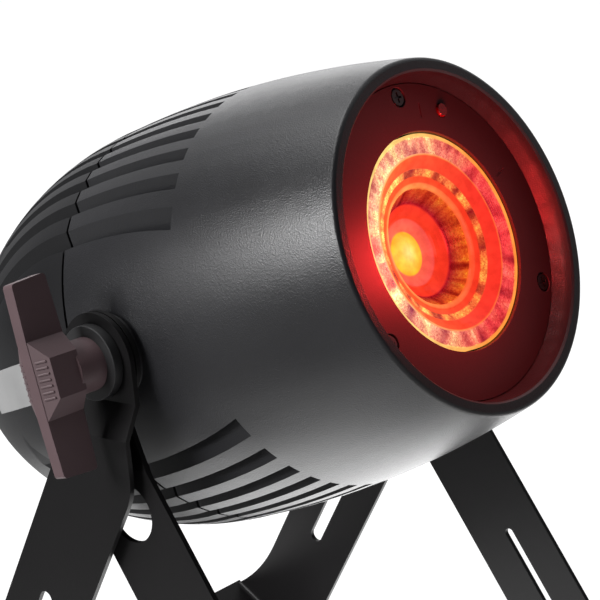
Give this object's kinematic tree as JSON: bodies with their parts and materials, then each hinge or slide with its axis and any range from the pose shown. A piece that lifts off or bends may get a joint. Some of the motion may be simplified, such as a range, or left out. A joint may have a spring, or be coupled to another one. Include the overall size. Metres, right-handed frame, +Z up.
{
  "type": "par can light",
  "caption": "Compact stage par light: a finned barrel head with a red-lit lens, held by wing knobs between two folding sheet steel floor brackets.",
  "frame": {"origin": "on the floor, under the middle of the bounding box", "axes": "+Z up; the lamp faces -Y and is tipped 16.25 degrees upward; +X runs along the tilt pivot from the left knob to the right knob"},
  "size_m": [0.2282, 0.2508, 0.2848],
  "materials": {
    "shell_coating": "fine textured powder coat over a die-cast shell",
    "plate_coating": "satin powder coat",
    "bracket_coating": "satin powder coat",
    "dark_rubber": "matte",
    "black_screw": "black oxide",
    "zinc_steel": "bright zinc plate",
    "red_window": "clear red, domed",
    "lens_plastic": "clear, with a fine stipple on its outer rings",
    "moulded_black": "moulded",
    "bare_aluminium": "extruded, bare",
    "red_emitter": "lit",
    "circuit_board": "solder mask",
    "capacitor_sleeve": "shrunk sleeve",
    "transformer_tape": "tape over a ferrite core",
    "copper_winding": "enamelled wire on a ring core",
    "smoked_window": "smoked clear",
    "blue_plastic": "moulded",
    "grey_plastic": "moulded",
    "white_label": "printed paper sticker, left blank",
    "key_plastic": "satin keys",
    "knob_plastic": "fine moulded texture"
  },
  "bodies": {
    "rear_stand": {"rear_bracket": "bracket_coating"},
    "front_stand": {"front_bracket": "bracket_coating"},
    "head": {"board_standoffs": "zinc_steel", "bracket_washer_left": "moulded_black", "bracket_washer_right": "moulded_black", "button_switches": "moulded_black", "collimator_lens": "lens_plastic", "control_board": "circuit_board", "control_standoffs": "zinc_steel", "data_inlet": "moulded_black", "data_outlet": "moulded_black", "display_module": "moulded_black", "display_window": "smoked_window", "driver_board": "circuit_board", "driver_capacitors": "capacitor_sleeve", "driver_chokes": "copper_winding", "driver_transformer": "transformer_tape", "friction_washer_left": "dark_rubber", "friction_washer_right": "dark_rubber", "front_plate": "plate_coating", "front_shell": "shell_coating", "heat_sink": "bare_aluminium", "heat_sink_screws": "zinc_steel", "knob_collar_left": "moulded_black", "knob_collar_right": "moulded_black", "led_board": "bare_aluminium", "led_emitter": "red_emitter", "lens_gasket": "dark_rubber", "lens_holder": "moulded_black", "panel_screws": "black_screw", "pivot_insert_left": "zinc_steel", "pivot_insert_right": "zinc_steel", "plate_screws": "black_screw", "power_inlet": "blue_plastic", "power_outlet": "grey_plastic", "rating_label": "white_label", "rear_panel": "plate_coating", "rear_shell": "shell_coating", "safety_eye": "zinc_steel", "safety_eye_nut": "zinc_steel", "sensor_window": "red_window", "shell_screws": "black_screw", "shell_seal": "dark_rubber"},
    "knob_left": {"wing_knob_left": "knob_plastic", "knob_stud_left": "zinc_steel"},
    "knob_right": {"wing_knob_right": "knob_plastic", "knob_stud_right": "zinc_steel"},
    "key_menu": {"button_menu": "key_plastic"},
    "key_down": {"button_down": "key_plastic"},
    "key_up": {"button_up": "key_plastic"},
    "key_enter": {"button_enter": "key_plastic"}
  },
  "joints": [
    {"name": "head_tilt", "type": "hinge", "parent": "rear_stand", "child": "head", "pos_m": [0, -0.00925, 0.19599], "axis": [1, 0, 0], "range_deg": [-120, 120]},
    {"name": "stand_splay", "type": "hinge", "parent": "rear_stand", "child": "front_stand", "pos_m": [0, -0.00925, 0.19599], "axis": [1, 0, 0], "range_deg": [-114, 65]},
    {"name": "knob_left_turn", "type": "hinge", "parent": "head", "child": "knob_left", "pos_m": [-0.09, -0.00925, 0.19599], "axis": [-1, 0, 0], "continuous": true},
    {"name": "knob_right_turn", "type": "hinge", "parent": "head", "child": "knob_right", "pos_m": [0.09, -0.00925, 0.19599], "axis": [1, 0, 0], "continuous": true},
    {"name": "key_menu_press", "type": "slide", "parent": "head", "child": "key_menu", "axis": [0, -0.96, 0.2798], "range_m": [0, 0.0008], "stiffness_N_per_m": 600, "springref_m": -0.0002},
    {"name": "key_down_press", "type": "slide", "parent": "head", "child": "key_down", "axis": [0, -0.96, 0.2798], "range_m": [0, 0.0008], "stiffness_N_per_m": 600, "springref_m": -0.0002},
    {"name": "key_up_press", "type": "slide", "parent": "head", "child": "key_up", "axis": [0, -0.96, 0.2798], "range_m": [0, 0.0008], "stiffness_N_per_m": 600, "springref_m": -0.0002},
    {"name": "key_enter_press", "type": "slide", "parent": "head", "child": "key_enter", "axis": [0, -0.96, 0.2798], "range_m": [0, 0.0008], "stiffness_N_per_m": 600, "springref_m": -0.0002}
  ]
}
